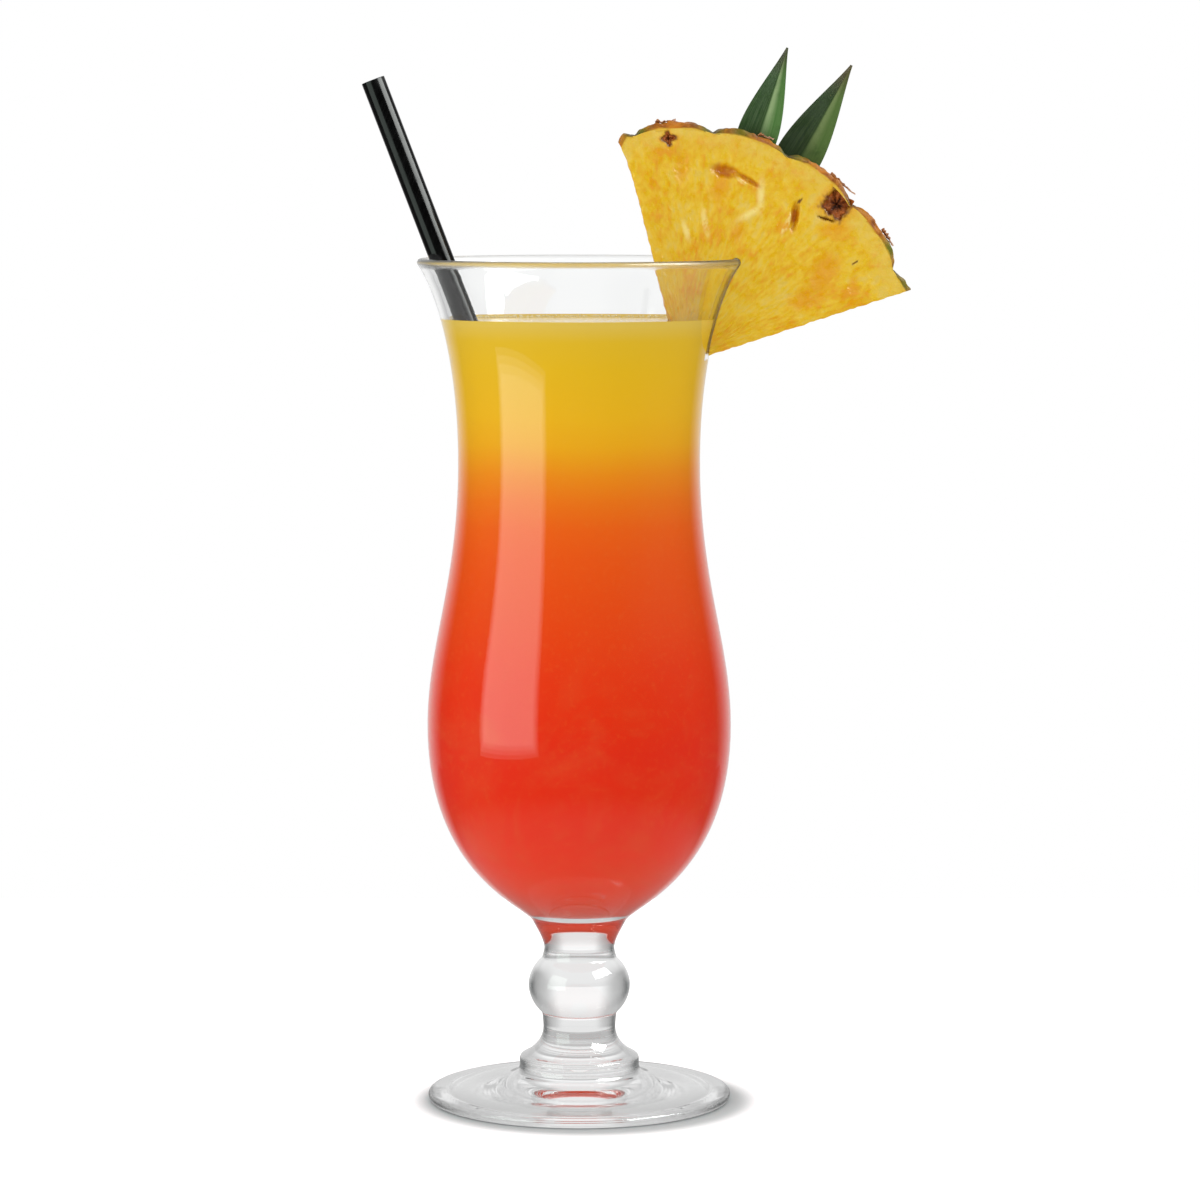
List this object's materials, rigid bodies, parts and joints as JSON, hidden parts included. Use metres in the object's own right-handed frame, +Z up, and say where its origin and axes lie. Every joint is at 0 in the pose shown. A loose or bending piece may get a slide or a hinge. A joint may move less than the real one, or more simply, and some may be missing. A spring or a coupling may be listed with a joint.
{
  "type": "hurricane glass",
  "caption": "Tall curved stemmed cocktail glass filled with a layered yellow to red drink, with a leaning straw and a pineapple slice on the rim.",
  "frame": {"origin": "middle of the plane that the foot's flat ring rests on", "axes": "+Z up the glass's axis, +X towards the pineapple slice, -Y towards the picture's camera"},
  "size_m": [0.1328, 0.0788, 0.2578],
  "materials": {
    "clear_glass": "clear, fire-polished, colourless",
    "yellow_juice": "cloudy yellow fruit juice, still surface",
    "orange_drink": "cloudy orange drink",
    "red_syrup": "cloudy red syrup and juice",
    "black_straw": "glossy extruded black",
    "pineapple_flesh": "wet fibrous fruit flesh",
    "pineapple_core": "firm pale fruit core",
    "pineapple_rind": "thin green and brown rind",
    "woody_eye": "dark brown woody fibre",
    "dry_bract": "dry papery scale",
    "green_leaf": "waxy green leaf with a paler midrib"
  },
  "bodies": {
    "glass": {"bowl": "clear_glass", "stem": "clear_glass", "foot": "clear_glass", "juice_layer": "yellow_juice", "blended_layer": "orange_drink", "syrup_layer": "red_syrup"},
    "straw": {"straw": "black_straw"},
    "pineapple_slice": {"slice_flesh": "pineapple_flesh", "slice_core": "pineapple_core", "slice_rind": "pineapple_rind", "slice_eyes": "woody_eye", "slice_bracts": "dry_bract"},
    "left_leaf": {"left_leaf": "green_leaf"},
    "right_leaf": {"right_leaf": "green_leaf"}
  },
  "joints": [
    {"name": "straw_lift", "type": "slide", "parent": "glass", "child": "straw", "axis": [-0.3574, 0, 0.934], "range_m": [0, 0.165]},
    {"name": "slice_lift", "type": "slide", "parent": "glass", "child": "pineapple_slice", "axis": [0.3259, 0, 0.9454], "range_m": [0, 0.034]},
    {"name": "left_leaf_pull", "type": "slide", "parent": "pineapple_slice", "child": "left_leaf", "axis": [0.3206, 0, 0.9472], "range_m": [0, 0.012]},
    {"name": "right_leaf_pull", "type": "slide", "parent": "pineapple_slice", "child": "right_leaf", "axis": [0.5, 0, 0.866], "range_m": [0, 0.012]}
  ]
}
